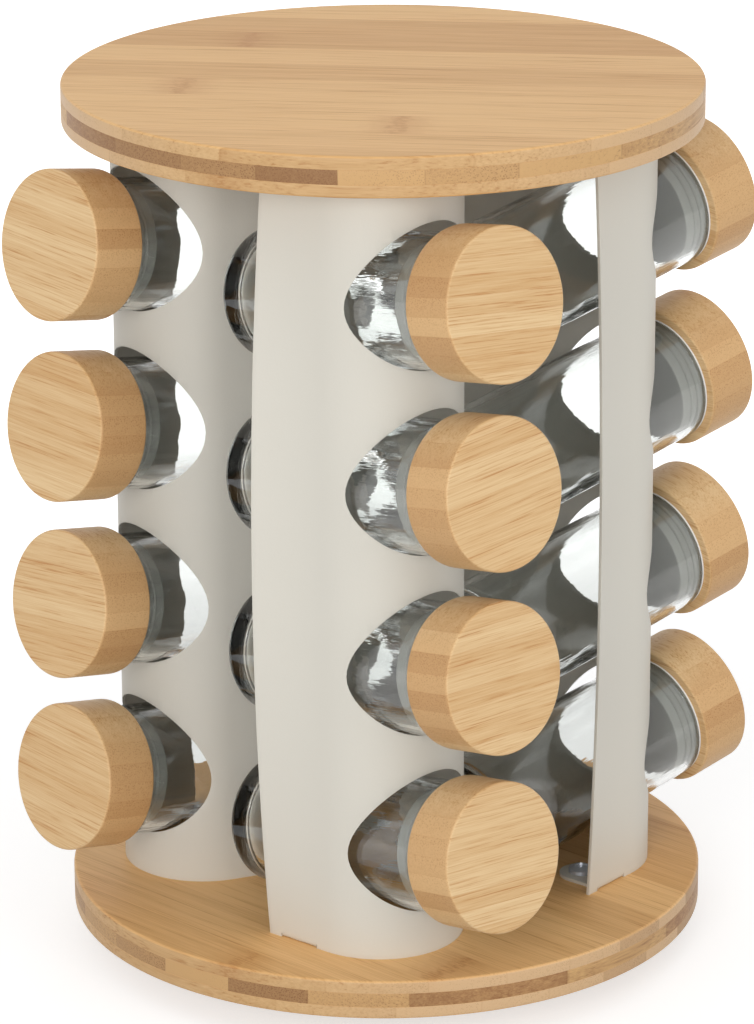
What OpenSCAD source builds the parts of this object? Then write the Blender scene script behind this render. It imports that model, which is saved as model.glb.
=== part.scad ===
// Rotating spice rack: two bamboo boards, four bent steel towers and sixteen glass jars.
// +Z is up. The origin is on the turning axis, on the surface that the feet stand on.
// The front tower's jars point along -Y. The other towers follow by quarter turns.

/* [Boards] */
// Diameter of the top board
top_d = 190; // [186:1:204]
// Diameter of the base board
base_d = 194; // [188:1:208]
// Thickness of each board
board_t = 12; // [11:0.5:18]
// Radius of the eased edges of the boards
board_ease = 0.9; // [0.4:0.1:2]

/* [Towers] */
// Thickness of the sheet steel
sheet_t = 1; // [0.6:0.1:1.4]
// Outer radius of the round nose
nose_r = 25; // [24.6:0.1:27]
// Distance of the nose's centre in front of the turning axis
nose_y = 40.5; // [38:0.5:42]
// How far the nose's centre lies beside the jars' axis
nose_shift = 1; // [0:0.25:1.5]
// Outward flare of the short leg in degrees
short_flare = 8.7; // [6:0.1:10]
// Length of the short leg from the nose to its free edge
short_leg = 22; // [20:0.5:24]
// Flare of the long leg in degrees
long_flare = 20.3; // [19:0.1:22]
// Length of the long leg from the nose to its inner edge
long_leg = 36.5; // [34:0.5:37]
// Gap all round between a glass and its opening in the nose
opening_gap = 1.75; // [1.2:0.05:2]
// Height of the lowest opening's centre above the base board
first_opening = 35.5; // [34:0.5:40]
// Height of steel from the highest opening's centre to the top board
above_last = 33.6; // [30:0.2:40]

/* [Tabs and screws] */
// Width of a screw tab
tab_w = 13; // [11:0.5:15]
// Distance of a tab's screw from the outer face of its leg
tab_reach = 11.5; // [10:0.5:13]
// Place of the short leg's tab, measured from the nose
short_tab = 10.8; // [9.5:0.1:12]
// Place of the long leg's tab, measured from the nose
long_tab = 26; // [22:0.5:27]
// Inner radius of the fold between a leg and its tab
fold_r = 0.2; // [0.2:0.1:1.2]
// Width of the relief slit beside a tab
tab_relief = 0.4; // [0.3:0.1:1.5]
// Diameter of a screw's head
head_d = 7.6; // [6.6:0.1:8.2]
// Height of a screw's head
head_h = 2.4; // [1.8:0.1:2.8]
// Diameter of a screw's shank
shank_d = 3.8; // [3:0.1:4.4]
// Length of a screw under its head
shank_l = 9.6; // [8:0.2:10]

/* [Jars] */
// Number of jars in each tower
rows = 4; // [2:1:4]
// Height from one row of jars to the next
row_pitch = 55.5; // [51:0.5:60]
// Distance of a column's axis beside the turning axis
jar_offset = 40; // [39:0.25:41]
// Angle by which the lids point upward
jar_tilt = 10; // [7:0.5:11]
// Outer diameter of a glass
glass_d = 39.5; // [38:0.25:40]
// Length of a glass
glass_l = 83; // [79:0.5:86]
// Wall thickness of a glass
glass_wall = 2; // [1.6:0.1:2.6]
// Thickness of a glass's bottom
glass_heel = 5; // [3.5:0.25:7]
// Radius of the outer bottom edge of a glass
heel_r = 2; // [1.4:0.1:2.6]
// Radius of the inner bottom edge of a glass
bowl_r = 4; // [2.5:0.25:6]
// Depth of the hollow in a glass's underside
punt_h = 0.8; // [0.4:0.1:1.2]
// Gap between a resting glass and the lower lip of its opening
rest_gap = 0.3; // [0.2:0.05:0.4]
// Gap between a pushed-in glass and the steel that stops it
stop_gap = 0.3; // [0.2:0.05:0.4]

/* [Lids] */
// Diameter of a lid
lid_d = 44.5; // [42:0.5:48]
// Thickness of a lid
lid_t = 17.3; // [14:0.1:20]
// Radius of the eased edges of a lid
lid_ease = 0.7; // [0.4:0.1:1.2]
// Length of a lid's plug inside the glass
plug_l = 9; // [7:0.5:12]
// Thickness of a seal round the plug
seal_wall = 1.2; // [0.9:0.1:1.5]
// Thickness of a seal's flange between lid and glass
seal_flange = 0.7; // [0.5:0.1:1.1]
// Height of one bead round a seal
bead_h = 1.2; // [0.8:0.1:1.6]
// Gap between a seal's beads and the glass
seal_gap = 0.06; // [0.04:0.01:0.1]
// Length of the lip at the plug's end that keeps the seal on
plug_lip = 2; // [1:0.25:3]
// Distance of a seal's upper bead below the glass's rim
bead_drop = 1.4; // [1:0.1:2]
// How far a seal's flange stays inside the glass's outer wall
flange_inset = 0.2; // [0:0.1:0.6]

/* [Bearing] */
// Height of the rubber pads under the stand ring
foot_h = 2; // [1.6:0.1:4]
// Diameter of a rubber pad
foot_d = 10; // [8:0.5:11]
// Diameter of the stud that holds a pad in the ring
foot_stud_d = 5; // [4:0.25:6]
// Length of the stud that holds a pad in the ring
foot_stud_l = 3; // [2:0.25:4]
// Height of the bearing from the stand ring's underside to the base board
bearing_h = 8; // [7.8:0.1:10]
// Radius of the circle on which the balls run
race_r = 54; // [50:0.5:60]
// Diameter of a ball
ball_d = 5; // [4.4:0.1:5.2]
// Number of balls
ball_count = 24; // [12:1:30]
// Gap between the balls and their grooves
race_gap = 0.05; // [0.03:0.01:0.08]
// Gap between the walls of the two rings
ring_gap = 2.4; // [2.2:0.1:2.8]
// Width of the top ring
top_ring_w = 11; // [10.6:0.2:14]
// Width of the stand ring
stand_ring_w = 12.8; // [12:0.2:16]
// How far each ring stays clear of the other's side
ring_step = 0.8; // [0.5:0.1:1]
// How far the top ring's screws lie nearer to its inner edge than its middle
ring_screw_in = 0.6; // [0:0.1:1]
// Gap between a screw's head and the recess in the top ring
head_play = 0.2; // [0.1:0.1:0.4]
// Thickness of the ball cage
cage_t = 2; // [1.6:0.1:2]
// Gap between the ball cage and the base board
cage_clear = 0.6; // [0.4:0.1:1]
// Gap between a ball and its pocket in the cage
pocket_gap = 0.1; // [0.06:0.02:0.16]

/* [Hidden] */
// Side names follow the quarter turns, and the top row is row 1.
SIDES = ["front", "right", "back", "left"];
ROWS = [1:rows];
FRAME_NODES = [
    "top_disc", "base_disc", "tower_front", "tower_right", "tower_back", "tower_left",
    "wood_screws", "bearing_top_ring", "bearing_stand_ring", "bearing_balls", "ball_cage",
    "rubber_feet"
];
JAR_NODES = [for (piece = ["glass", "lid", "seal"], side = SIDES, row = ROWS) jar_node(piece, side, row)];

bamboo = "burlywood";
steel = "gainsboro";
zinc = "silver";
$fn = 96;
// Small rounded edges, the domes of the screw heads and the wide shallow domes under the glasses
edge_fn = 48;
dome_fn = 180;
shallow_fn = 720;
// A cut runs past the surface that it opens by this much.
past = 1;

// Heights
base_z = foot_h + bearing_h;
tower_z = base_z + board_t;
tower_h = first_opening + (rows - 1) * row_pitch + above_last;
top_z = tower_z + tower_h;

// The front tower's plan
nose_x = -(jar_offset - nose_shift);
short_dir = 180 + short_flare;
long_dir = -long_flare;
nose_sweep = 360 + long_dir - short_dir;
// The coating builds up a hair on both sides of the bent nose, and each leg runs into it.
nose_build = 0.02;
leg_lap = 0.5;
fold_h = fold_r + sheet_t;
// The openings are cut in the outer side of the nose alone, from this far outside its centre.
opening_start = 3;

// A jar rests on the lower lip of its opening, so its axis lies below the opening's.
opening_d = glass_d + 2 * opening_gap;
rest_drop = opening_gap - rest_gap;

// A pushed-in jar stops at the long leg of the tower on its left. That leg's outer face is
// the plane through leg_point, square to leg_normal, and the glass's rounded heel meets it.
leg_normal = quarter_back([cos(long_dir), sin(long_dir)]);
leg_point = quarter_back([nose_x + nose_r * cos(long_dir), -nose_y + nose_r * sin(long_dir)]);
heel_ring_r = glass_d / 2 - heel_r;
heel_reach = heel_ring_r * norm([leg_normal.x, leg_normal.y * sin(jar_tilt)]);
heel_room = stop_gap + heel_r + heel_reach + heel_r * leg_normal.y * cos(jar_tilt);
bottom_y = leg_point.y + (heel_room + (jar_offset + leg_point.x) * leg_normal.x) / leg_normal.y;

// The inside of a glass and what closes it
mouth_d = glass_d - 2 * glass_wall;
bead_d = mouth_d - 2 * seal_gap;
plug_d = bead_d - 2 * seal_wall;
bead_rise = seal_wall / 2;
seal_l = plug_l - plug_lip;
lid_base = glass_l + seal_gap + seal_flange;

// The bearing
ball_z = foot_h + bearing_h / 2;
top_ring_r = race_r - ring_gap / 2;
stand_ring_r = race_r + ring_gap / 2;
top_ring_hole_r = top_ring_r - top_ring_w / 2 - ring_screw_in;
foot_r = stand_ring_r + stand_ring_w / 2;
cage_h = bearing_h - 2 * cage_clear;
head_recess_d = head_d + 2 * head_play;
head_recess_h = head_h + head_play;
// A pilot hole is wider than the shank by this much all round, and longer by this much.
shank_gap = 0.05;
pilot_extra = 0.5;
// A screw hole through steel is wider than the shank by this much all round.
screw_play = 0.35;
pilot_l = shank_l - sheet_t + pilot_extra;

function jar_node(piece, side, row) = str(piece, "_", side, "_", row);
function quarter_back(p) = [p.y, -p.x];
function side_turn(side) = 90 * search([side], SIDES)[0];
// Height of an opening's centre, on the nose, above the base board
function opening_h(row) = first_opening + (rows - row) * row_pitch;

// Places children on the front column's axis, at the point nearest to the turning axis,
// turned so that their +Z runs along the jar towards its lid.
module on_opening_axis(row) {
    translate([-jar_offset, -(nose_y + nose_r), tower_z + opening_h(row)])
        rotate([90 - jar_tilt, 0, 0])
            translate([0, 0, -(nose_y + nose_r + bottom_y) / cos(jar_tilt)])
                children();
}

module at_jar(side, row) {
    rotate([0, 0, side_turn(side)])
        on_opening_axis(row)
            translate([0, -rest_drop, -rest_drop * tan(jar_tilt)])
                children();
}

// Places children on a leg: +X is the leg's outward normal with 0 on its outer face,
// and +Y runs from the nose along the leg.
module on_leg(direction, hand) {
    translate([nose_x, -nose_y, 0])
        rotate([0, 0, direction])
            translate([nose_r, 0, 0])
                mirror([0, hand < 0 ? 1 : 0, 0])
                    children();
}

// Turns a tab at the foot of the tower into the one at its head.
module at_head() {
    translate([0, 0, tower_h])
        mirror([0, 0, 1])
            children();
}

// Places children at each tab of the front tower, with z = 0 on the board it lies on
// and +Z pointing away from that board. They stand on the screw's axis.
module at_tab_screws() {
    for (leg = [[short_dir, -1, short_tab], [long_dir, 1, long_tab]])
        on_leg(leg[0], leg[1])
            translate([-tab_reach, leg[2], 0]) {
                children();
                at_head() children();
            }
}

// A disc with eased edges, standing on z = 0
module eased_disc(d, t, ease) {
    rotate_extrude() {
        translate([0, ease]) square([d / 2, t - 2 * ease]);
        square([d / 2 - ease, t]);
        for (z = [ease, t - ease])
            translate([d / 2 - ease, z]) circle(ease, $fn = edge_fn);
    }
}

// A pilot hole that opens on z = 0 and runs down into the wood
module pilot_hole(length) {
    translate([0, 0, -length]) cylinder(h = length + past, r = shank_d / 2 + shank_gap);
}

module top_disc() {
    color(bamboo)
        difference() {
            translate([0, 0, top_z]) eased_disc(top_d, board_t, board_ease);
            for (side = SIDES)
                rotate([0, 0, side_turn(side)])
                    translate([0, 0, tower_z])
                        at_tab_screws() pilot_hole(pilot_l);
        }
}

module base_disc() {
    color(bamboo)
        difference() {
            translate([0, 0, base_z]) eased_disc(base_d, board_t, board_ease);
            for (side = SIDES) {
                rotate([0, 0, side_turn(side)])
                    translate([0, 0, tower_z])
                        at_tab_screws() pilot_hole(pilot_l);
                rotate([0, 0, side_turn(side)])
                    translate([top_ring_hole_r, 0, base_z])
                        mirror([0, 0, 1])
                            pilot_hole(shank_l - ring_grip() + pilot_extra);
            }
        }
}

// Height of ring between a screw's head and the base board
function ring_grip() = bearing_h - ring_step - head_recess_h;

// A leg with a notch at each end where its tab folds in, and the two tabs. It starts inside
// the steel of the nose.
module leg(length, tab_at) {
    difference() {
        translate([-sheet_t, -leg_lap, -past])
            cube([sheet_t, length + leg_lap, tower_h + 2 * past]);
        tab_notch(tab_at);
        at_head() tab_notch(tab_at);
    }
    tab(tab_at);
    at_head() tab(tab_at);
}

module nose() {
    translate([nose_x, -nose_y, 0])
        rotate([0, 0, short_dir])
            rotate_extrude(angle = nose_sweep)
                translate([nose_r - sheet_t - nose_build, -past])
                    square([sheet_t + 2 * nose_build, tower_h + 2 * past]);
}

// What is cut off at both ends, so that the nose and its legs end on the same two planes
module end_trims() {
    for (z = [-2 * past, tower_h])
        translate([-top_d / 2, -top_d / 2, z]) cube([top_d, top_d, 2 * past]);
}

module tab_notch(tab_at) {
    notch_w = tab_w + 2 * tab_relief;
    translate([-sheet_t - past, tab_at - notch_w / 2, -past])
        cube([sheet_t + 2 * past, notch_w, fold_h + past]);
}

// A tab lies on the board, and a quarter round fold joins it to its leg.
module tab(tab_at) {
    translate([-fold_h, tab_at, 0]) {
        translate([0, tab_w / 2, fold_h])
            rotate([90, 0, 0])
                rotate([0, 0, -90])
                    fold();
        difference() {
            linear_extrude(sheet_t) {
                translate([fold_h - tab_reach, -tab_w / 2]) square([tab_reach - fold_h, tab_w]);
                translate([fold_h - tab_reach, 0]) circle(d = tab_w);
            }
            translate([fold_h - tab_reach, 0, -past])
                cylinder(h = sheet_t + 2 * past, r = shank_d / 2 + screw_play);
        }
    }
}

module fold() {
    linear_extrude(tab_w)
        difference() {
            intersection() {
                circle(fold_h);
                square(fold_h);
            }
            circle(fold_r);
        }
}

module tower() {
    color(steel)
        translate([0, 0, tower_z])
            difference() {
                union() {
                    nose();
                    on_leg(short_dir, -1) leg(short_leg, short_tab);
                    on_leg(long_dir, 1) leg(long_leg, long_tab);
                }
                end_trims();
                for (row = ROWS)
                    translate([0, 0, -tower_z])
                        on_opening_axis(row)
                            translate([0, 0, (nose_y + bottom_y + opening_start) / cos(jar_tilt)])
                                cylinder(h = nose_r + opening_d / 2, d = opening_d);
            }
}

// A pan head screw, with z = 0 under its head and +Z out of the wood
module pan_screw() {
    crown_r = head_d / 2;
    rotate_extrude() {
        translate([0, -shank_l + shank_d / 2]) square([shank_d / 2, shank_l - shank_d / 2]);
        polygon([[0, -shank_l], [0, -shank_l + shank_d / 2], [shank_d / 2, -shank_l + shank_d / 2]]);
        square([crown_r, head_h / 2]);
        translate([0, head_h / 2])
            intersection() {
                square([crown_r, head_h / 2]);
                translate([0, head_h / 2 - crown_dome_r()]) circle(crown_dome_r(), $fn = dome_fn);
            }
    }
}

// Radius of a dome that rises half of the head's height over the head's width
function crown_dome_r() = (pow(head_d / 2, 2) + pow(head_h / 2, 2)) / head_h;

module wood_screws() {
    color(zinc)
        for (side = SIDES) {
            rotate([0, 0, side_turn(side)])
                translate([0, 0, tower_z])
                    at_tab_screws() translate([0, 0, sheet_t]) pan_screw();
            rotate([0, 0, side_turn(side)])
                translate([top_ring_hole_r, 0, base_z - ring_grip()])
                    mirror([0, 0, 1])
                        pan_screw();
        }
}

// The groove that the balls run in, seen in the half plane of the ring's profile
module race_groove() {
    translate([race_r, ball_z]) circle(ball_d / 2 + race_gap);
}

module bearing_top_ring() {
    color("lightgrey")
        difference() {
            rotate_extrude()
                difference() {
                    translate([top_ring_r - top_ring_w, foot_h + ring_step])
                        square([top_ring_w, bearing_h - ring_step]);
                    race_groove();
                }
            for (side = SIDES)
                rotate([0, 0, side_turn(side)])
                    translate([top_ring_hole_r, 0, 0]) {
                        translate([0, 0, foot_h])
                            cylinder(h = bearing_h + past, r = shank_d / 2 + screw_play);
                        translate([0, 0, foot_h])
                            cylinder(h = ring_step + head_recess_h, d = head_recess_d);
                    }
        }
}

module at_feet() {
    for (side = SIDES)
        rotate([0, 0, side_turn(side) + 45])
            translate([foot_r, 0, 0])
                children();
}

module bearing_stand_ring() {
    color("lightgrey")
        difference() {
            rotate_extrude()
                difference() {
                    translate([stand_ring_r, foot_h]) square([stand_ring_w, bearing_h - ring_step]);
                    race_groove();
                }
            at_feet()
                translate([0, 0, foot_h - past])
                    cylinder(h = foot_stud_l + pilot_extra + past, r = foot_stud_d / 2 + shank_gap);
        }
}

module bearing_balls() {
    color("white")
        at_balls()
            sphere(d = ball_d);
}

module at_balls() {
    for (i = [0:ball_count - 1])
        rotate([0, 0, i * 360 / ball_count])
            translate([race_r, 0, ball_z])
                children();
}

module ball_cage() {
    color("ivory")
        difference() {
            translate([0, 0, ball_z - cage_h / 2])
                rotate_extrude()
                    translate([race_r - cage_t / 2, 0]) square([cage_t, cage_h]);
            at_balls()
                rotate([0, 90, 0])
                    cylinder(h = 2 * cage_t, d = ball_d + 2 * pocket_gap, center = true);
        }
}

module rubber_feet() {
    color("dimgray")
        at_feet() {
            cylinder(h = foot_h, d = foot_d);
            cylinder(h = foot_h + foot_stud_l, d = foot_stud_d);
        }
}

// The hollow of a glass: straight walls up to the rounded rim, and a rounded bowl
module glass_hollow() {
    r = mouth_d / 2;
    translate([0, glass_heel + bowl_r]) square([r, glass_l - glass_wall / 2 - glass_heel - bowl_r]);
    translate([0, glass_heel]) square([r - bowl_r, bowl_r + past]);
    translate([r - bowl_r, glass_heel + bowl_r]) circle(bowl_r, $fn = edge_fn);
}

module glass_body() {
    r = glass_d / 2;
    rim_r = glass_wall / 2;
    translate([0, heel_r]) square([r, glass_l - heel_r - rim_r]);
    square([r - heel_r, heel_r + past]);
    translate([r - heel_r, heel_r]) circle(heel_r, $fn = edge_fn);
    translate([r - rim_r, glass_l - rim_r]) circle(rim_r, $fn = edge_fn);
}

// The shallow dome pressed into a glass's underside, inside the ring that it stands on
module punt() {
    punt_r = glass_d / 2 - 2 * heel_r;
    dome_r = (pow(punt_r, 2) + pow(punt_h, 2)) / (2 * punt_h);
    intersection() {
        translate([0, -past]) square([punt_r, punt_h + 2 * past]);
        translate([0, punt_h - dome_r]) circle(dome_r, $fn = shallow_fn);
    }
}

module glass() {
    color("lightcyan", 0.4)
        rotate_extrude()
            difference() {
                glass_body();
                glass_hollow();
                punt();
            }
}

// The lid's plug carries the seal, and a lip at its end keeps the seal on.
module lid() {
    color(bamboo) {
        translate([0, 0, lid_base]) eased_disc(lid_d, lid_t, lid_ease);
        translate([0, 0, lid_base - plug_l]) cylinder(h = plug_l, d = plug_d);
        translate([0, 0, lid_base - plug_l]) cylinder(h = plug_lip, d = plug_d + 2 * bead_rise);
    }
}

module seal() {
    color("white")
        rotate_extrude() {
            translate([plug_d / 2, glass_l + seal_gap]) square([(glass_d - plug_d) / 2 - flange_inset, seal_flange]);
            translate([plug_d / 2, lid_base - seal_l]) square([seal_wall - bead_rise, seal_l]);
            for (z = [lid_base - seal_l + bead_h, glass_l - bead_drop - bead_h])
                translate([plug_d / 2, z]) square([seal_wall, bead_h]);
        }
}

top_disc();
base_disc();
for (side = SIDES)
    rotate([0, 0, side_turn(side)]) tower();
wood_screws();
bearing_top_ring();
bearing_stand_ring();
bearing_balls();
ball_cage();
rubber_feet();
for (side = SIDES, row = ROWS) {
    at_jar(side, row) glass();
    at_jar(side, row) lid();
    at_jar(side, row) seal();
}
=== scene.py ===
# %% [markdown]
# # A rotating spice rack
#
# The rack has two round bamboo boards, four tall towers of bent sheet steel between them, and
# sixteen glass jars with bamboo lids that lie in the towers. This lesson dresses the rack: the
# frame brings the exact places and sizes, and every cell adds one kind of piece or one finish.
#
# The first cell loads the frame and bakes each part's place into its own mesh. Nothing here
# may change its size.

# %% Load the frame
import math

import bmesh
import bpy
from mathutils import Matrix, Vector, geometry


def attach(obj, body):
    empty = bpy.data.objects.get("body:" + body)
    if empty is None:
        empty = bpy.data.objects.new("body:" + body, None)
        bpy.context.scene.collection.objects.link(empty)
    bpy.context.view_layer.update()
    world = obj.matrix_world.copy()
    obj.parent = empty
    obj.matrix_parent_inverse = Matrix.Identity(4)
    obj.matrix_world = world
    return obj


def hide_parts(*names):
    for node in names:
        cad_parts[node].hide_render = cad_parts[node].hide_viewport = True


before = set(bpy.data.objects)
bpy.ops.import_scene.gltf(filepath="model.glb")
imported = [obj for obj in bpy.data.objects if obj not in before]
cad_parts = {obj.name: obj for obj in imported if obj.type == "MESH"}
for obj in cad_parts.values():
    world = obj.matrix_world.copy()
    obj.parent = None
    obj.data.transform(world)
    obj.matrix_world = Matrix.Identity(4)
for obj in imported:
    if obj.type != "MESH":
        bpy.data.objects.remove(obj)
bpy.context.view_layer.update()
MM = 0.001
SIDES = ("front", "right", "back", "left")
ROWS = (1, 2, 3, 4)

# %% [markdown]
# ## Camera
#
# A photo of a product is often taken with a long lens from a few metres away, which keeps the
# two boards nearly the same width. The camera's three axes are written out as a matrix, because
# the picture is also turned by a third of a degree, and a matrix says that most plainly.

# %% Camera
CAMERA_PLACE = Vector((-0.9000, -0.9995, 0.5956))
AIM_ACROSS = Vector((0.743, -0.669, 0.0)).normalized()
AIM_AWAY = Vector((0.669, 0.743, 0.0)).normalized()
YAW, PITCH, ROLL = (math.radians(a) for a in (-0.2385, 18.514, -0.3218))


def in_frame(across, away, up):
    return AIM_ACROSS * across + AIM_AWAY * away + Vector((0, 0, up))


right = in_frame(math.cos(YAW), -math.sin(YAW), 0)
ahead = in_frame(math.sin(YAW) * math.cos(PITCH), math.cos(YAW) * math.cos(PITCH), -math.sin(PITCH))
up = right.cross(ahead)
rolled_right = right * math.cos(ROLL) + up * math.sin(ROLL)
rolled_up = up * math.cos(ROLL) - right * math.sin(ROLL)
camera_data = bpy.data.cameras.new("photo_camera")
camera_data.sensor_width = 36
camera_data.lens = 165.88 * 0.992
camera_data.shift_y = -36 / 1024
camera_data.shift_x = 11 / 1024
camera_data.clip_start = 0.05
camera_data.clip_end = 50
camera = bpy.data.objects.new("photo_camera", camera_data)
bpy.context.scene.collection.objects.link(camera)
axes = Matrix((rolled_right, rolled_up, -ahead)).transposed().to_4x4()
camera.matrix_world = Matrix.Translation(CAMERA_PLACE) @ axes
bpy.context.scene.camera = camera
print("camera lens", round(camera_data.lens, 2), "mm, at", [round(v, 3) for v in CAMERA_PLACE])

# %% [markdown]
# ## Light and background
#
# The photo has a clean white background and soft light: one broad lamp close to the camera, a
# weak one at the right, and light from all round. The world is white wherever a camera ray, a
# reflection or a view through glass meets it, and plain grey for the light that it throws on the
# rack. That way the background is white and the bamboo isn't bleached by it.


# %% Node helpers
def srgb(red, green, blue):
    """A colour picked in a picture, 0 to 255, as the linear colour that a shader takes."""

    def linear(v):
        v /= 255
        return v / 12.92 if v <= 0.04045 else ((v + 0.055) / 1.055) ** 2.4

    return (linear(red), linear(green), linear(blue), 1.0)


class Sheet:
    """Adds nodes to a node tree and joins them, so that a recipe reads from top to bottom."""

    def __init__(self, tree):
        self.tree = tree

    def node(self, kind, inputs=(), **settings):
        made = self.tree.nodes.new(kind)
        for name, value in settings.items():
            setattr(made, name, value)
        for key, value in dict(inputs).items():
            self.feed(made.inputs[key], value)
        return made

    def feed(self, socket, value):
        if isinstance(value, bpy.types.NodeSocket):
            self.tree.links.new(value, socket)
        else:
            socket.default_value = value

    def math(self, operation, first, second=0.0, third=0.0, clamp=False):
        made = self.node("ShaderNodeMath", {0: first, 1: second, 2: third}, operation=operation)
        made.use_clamp = clamp
        return made.outputs[0]

    def vector(self, operation, first, second=(0, 0, 0), out=0):
        made = self.node("ShaderNodeVectorMath", {0: first, 1: second}, operation=operation)
        return made.outputs[out]

    def combine(self, x, y, z):
        return self.node("ShaderNodeCombineXYZ", {0: x, 1: y, 2: z}).outputs[0]

    def split(self, vector):
        return self.node("ShaderNodeSeparateXYZ", {0: vector}).outputs

    def noise(self, vector, scale, detail=2.0, rough=0.5, out=0):
        made = self.node("ShaderNodeTexNoise", {"Vector": vector, "Scale": scale, "Detail": detail})
        made.inputs["Roughness"].default_value = rough
        return made.outputs[out]

    def step(self, value, low, high, to_low=0.0, to_high=1.0):
        """Goes smoothly from to_low to to_high while value goes from low to high."""
        made = self.node("ShaderNodeMapRange", {"Value": value}, interpolation_type="SMOOTHSTEP")
        for name, number in zip(("From Min", "From Max", "To Min", "To Max"), (low, high, to_low, to_high)):
            made.inputs[name].default_value = number
        return made.outputs[0]

    def blend(self, share, first, second, kind="MIX"):
        made = self.node("ShaderNodeMix", data_type="RGBA", blend_type=kind)
        self.feed(made.inputs[0], share)
        self.feed(made.inputs[6], first)
        self.feed(made.inputs[7], second)
        return made.outputs[2]


print("node helpers ready")

# %% World and lamps
AMBIENT = 0.68


def white_to_eye(sheet):
    """1 for a ray that the camera sees directly, in a reflection or through glass."""
    path = sheet.node("ShaderNodeLightPath").outputs
    seen = sheet.math("MAXIMUM", path["Is Camera Ray"], path["Is Glossy Ray"])
    return sheet.math("MAXIMUM", seen, path["Is Transmission Ray"])


world = bpy.data.worlds.new("studio")
world.use_nodes = True
world.node_tree.nodes.clear()
sheet = Sheet(world.node_tree)
strength = sheet.math("MULTIPLY_ADD", white_to_eye(sheet), 1 - AMBIENT, AMBIENT)
background = sheet.node("ShaderNodeBackground", {"Color": (1, 1, 1, 1), "Strength": strength})
sheet.node("ShaderNodeOutputWorld", {"Surface": background.outputs[0]})
bpy.context.scene.world = world
bpy.context.scene.view_settings.view_transform = "Standard"

RACK_MIDDLE = Vector((0, 0, 0.14))
for name, place, size, watts in (
    ("front_lamp", (-0.3, -1.4, 0.6), 0.7, 7.5),
    ("right_lamp", (0.9, -0.9, 0.45), 0.8, 1.9),
):
    lamp_data = bpy.data.lights.new(name, "AREA")
    lamp_data.shape = "DISK"
    lamp_data.size = size
    lamp_data.energy = watts
    lamp = bpy.data.objects.new(name, lamp_data)
    spot = in_frame(*place)
    aim = (RACK_MIDDLE - spot).to_track_quat("-Z", "Y").to_matrix().to_4x4()
    lamp.matrix_world = Matrix.Translation(spot) @ aim
    bpy.context.scene.collection.objects.link(lamp)
    print(name, "at", [round(v, 2) for v in spot], watts, "W")

# %% [markdown]
# ## Floor
#
# The floor only has to catch a soft shadow round the foot of the rack. Near the rack it is a
# pale matt surface with a little glow of its own, so that the open floor is white and the
# shadow is light. Further out it is plain white to the eye.

# %% Floor
FLOOR_REACH = 4.0
floor_mesh = bpy.data.meshes.new("floor")
corners = [(-FLOOR_REACH, -FLOOR_REACH), (FLOOR_REACH, -FLOOR_REACH), (FLOOR_REACH, FLOOR_REACH)]
corners.append((-FLOOR_REACH, FLOOR_REACH))
floor_mesh.from_pydata([(x, y, 0) for x, y in corners], [], [(0, 1, 2, 3)])
floor = bpy.data.objects.new("floor", floor_mesh)
bpy.context.scene.collection.objects.link(floor)
floor_paint = bpy.data.materials.new("white_floor")
floor_paint.use_nodes = True
floor_paint.node_tree.nodes.clear()
sheet = Sheet(floor_paint.node_tree)
place = sheet.node("ShaderNodeTexCoord").outputs["Object"]
far = sheet.step(sheet.vector("LENGTH", place, out=1), 0.22, 0.5)
glow = sheet.math("MULTIPLY_ADD", far, 0.42, 0.58)
glow = sheet.math("MULTIPLY", glow, white_to_eye(sheet))
matt = sheet.node("ShaderNodeBsdfDiffuse", {"Color": (0.62, 0.62, 0.62, 1)})
shine = sheet.node("ShaderNodeEmission", {"Color": (1, 1, 1, 1), "Strength": glow})
both = sheet.node("ShaderNodeAddShader", {0: matt.outputs[0], 1: shine.outputs[0]})
sheet.node("ShaderNodeOutputMaterial", {"Surface": both.outputs[0]})
floor_mesh.materials.append(floor_paint)
print("floor reaches", FLOOR_REACH, "m each way")

# %% [markdown]
# ## Bamboo
#
# Bamboo board is glued from long strips. Seen along the strips it shows fine brown fibres and
# now and then a knuckle; seen from their ends it shows a speckle of fibre ends. One pattern in
# space gives both: a cloud of spots that is stretched along the fibres is a set of lines from
# the side and a set of dots from the end. So the recipe reads a position called grain_pos, in
# millimetres, with x along the fibres and y across the strips. Every bamboo piece carries its
# own grain_pos, and end, which says how much its surface cuts across the fibres.

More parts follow.
